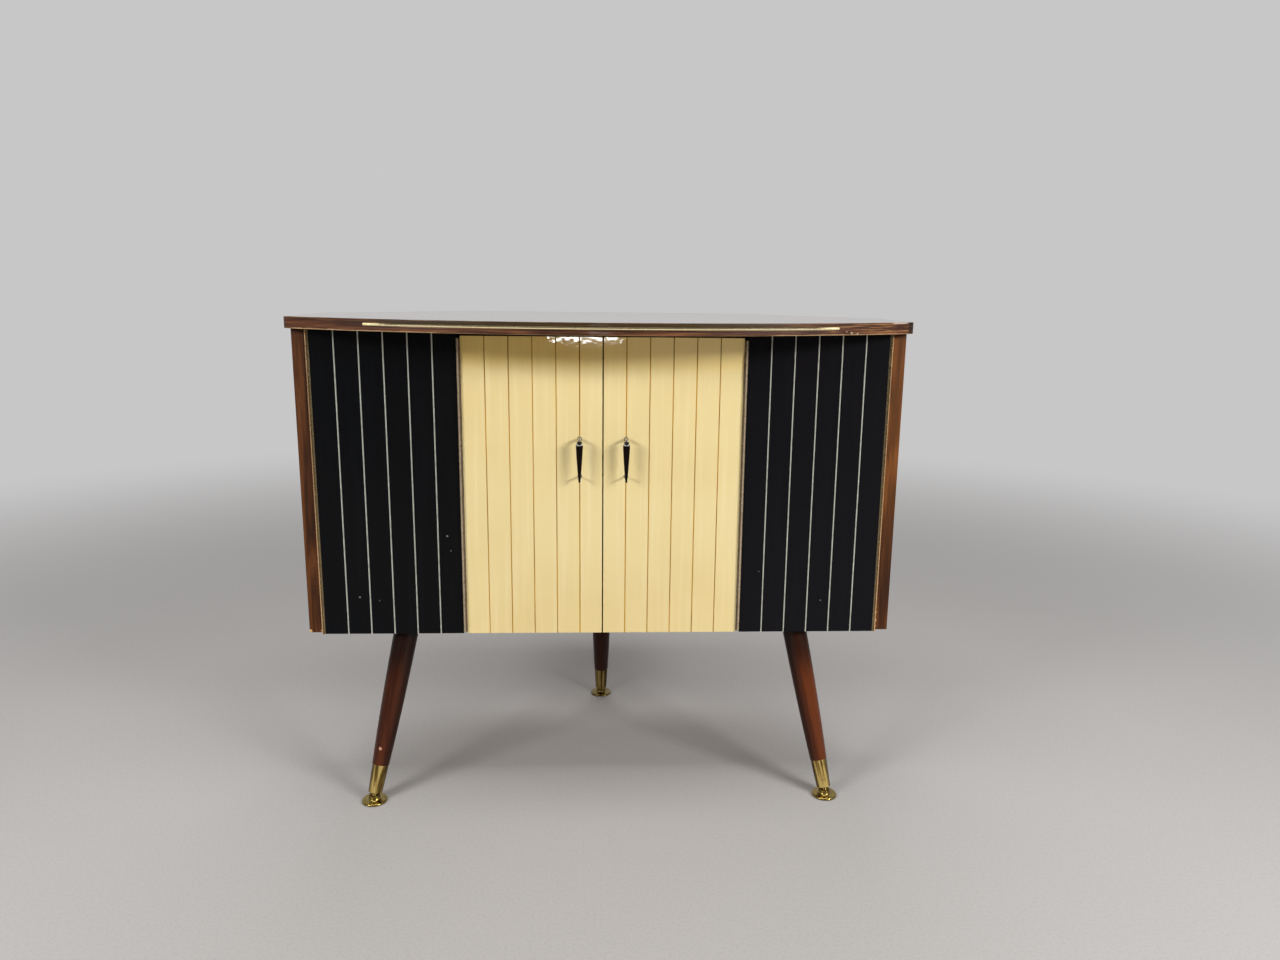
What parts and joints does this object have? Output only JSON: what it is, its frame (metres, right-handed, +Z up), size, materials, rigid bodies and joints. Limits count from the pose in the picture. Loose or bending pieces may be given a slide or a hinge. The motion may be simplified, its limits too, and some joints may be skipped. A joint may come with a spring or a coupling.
{
  "type": "corner tv cabinet",
  "caption": "Corner television cabinet: bowed top, hinged doors between fixed front panels, shelf inside, splayed tapered legs on swivel glides.",
  "frame": {"origin": "centre of the bounding box at floor level", "axes": "+X to the right seen from the front, -Y towards the front, +Z up"},
  "size_m": [0.83, 0.5007, 0.69],
  "materials": {
    "top_wood": "high gloss lacquered veneer",
    "side_wood": "satin lacquered veneer",
    "back_wood": "plain stained board",
    "inner_wood": "satin clear lacquer",
    "batten_wood": "planed softwood",
    "black_lacquer": "gloss black lacquer",
    "cream_lacquer": "gloss cream lacquer",
    "strip_metal": "satin pale gold metal",
    "brass": "polished, worn",
    "hinge_brass": "dulled",
    "steel": "bright zinc",
    "black_grip": "gloss black",
    "chrome": "polished",
    "catch_plastic": "matt ivory",
    "leg_wood": "satin mahogany stain"
  },
  "bodies": {
    "cabinet": {"top_board": "top_wood", "top_inlay": "brass", "side_left": "side_wood", "side_right": "side_wood", "back_left": "back_wood", "back_right": "back_wood", "rear_board": "back_wood", "bottom_board": "inner_wood", "top_rail": "inner_wood", "front_batten_left": "batten_wood", "front_batten_right": "batten_wood", "back_batten_left": "batten_wood", "back_batten_right": "batten_wood", "rear_batten_left": "batten_wood", "rear_batten_right": "batten_wood", "top_cleat_left": "batten_wood", "top_cleat_right": "batten_wood", "shelf": "inner_wood", "shelf_cleat_left": "batten_wood", "shelf_cleat_right": "batten_wood", "shelf_cleat_rear": "batten_wood", "front_panel_left": "black_lacquer", "front_panel_right": "black_lacquer", "panel_strips_left": "strip_metal", "panel_strips_right": "strip_metal", "edge_moulding_left": "brass", "edge_moulding_right": "brass", "hinge_panel_leaf_left": "hinge_brass", "hinge_panel_leaf_right": "hinge_brass", "hinge_pin_left": "steel", "hinge_pin_right": "steel", "catch_left": "catch_plastic", "catch_right": "catch_plastic", "leg_front_left": "leg_wood", "leg_front_right": "leg_wood", "leg_rear": "leg_wood", "leg_plate_front_left": "steel", "leg_plate_front_right": "steel", "leg_plate_rear": "steel", "leg_studs": "steel", "ferrule_front_left": "brass", "ferrule_front_right": "brass", "ferrule_rear": "brass", "glide_stem_front_left": "steel", "glide_stem_front_right": "steel", "glide_stem_rear": "steel"},
    "left_door": {"door_left": "cream_lacquer", "hinge_door_leaf_left": "hinge_brass", "handle_grip_left": "black_grip", "handle_arms_left": "chrome", "strike_left": "steel"},
    "right_door": {"door_right": "cream_lacquer", "hinge_door_leaf_right": "hinge_brass", "handle_grip_right": "black_grip", "handle_arms_right": "chrome", "strike_right": "steel"},
    "front_left_glide": {"glide_front_left": "brass"},
    "front_right_glide": {"glide_front_right": "brass"},
    "rear_glide": {"glide_rear": "brass"}
  },
  "joints": [
    {"name": "left_door_hinge", "type": "hinge", "parent": "cabinet", "child": "left_door", "pos_m": [-0.1925, -0.1151, 0.4581], "axis": [0, 0, -1], "range_deg": [0, 170]},
    {"name": "right_door_hinge", "type": "hinge", "parent": "cabinet", "child": "right_door", "pos_m": [0.1925, -0.1151, 0.4581], "axis": [0, 0, 1], "range_deg": [0, 170]},
    {"name": "front_left_glide_tilt", "type": "hinge", "parent": "cabinet", "child": "front_left_glide", "pos_m": [-0.328, -0.1276, 0.0085], "axis": [0.7684, -0.64, 0], "range_deg": [-38, 5]},
    {"name": "front_right_glide_tilt", "type": "hinge", "parent": "cabinet", "child": "front_right_glide", "pos_m": [0.328, -0.1276, 0.0085], "axis": [0.7684, 0.64, 0], "range_deg": [-38, 5]},
    {"name": "rear_glide_tilt", "type": "hinge", "parent": "cabinet", "child": "rear_glide", "pos_m": [0, 0.2324, 0.0085], "axis": [-1, 0, 0], "range_deg": [-34, 10]}
  ]
}
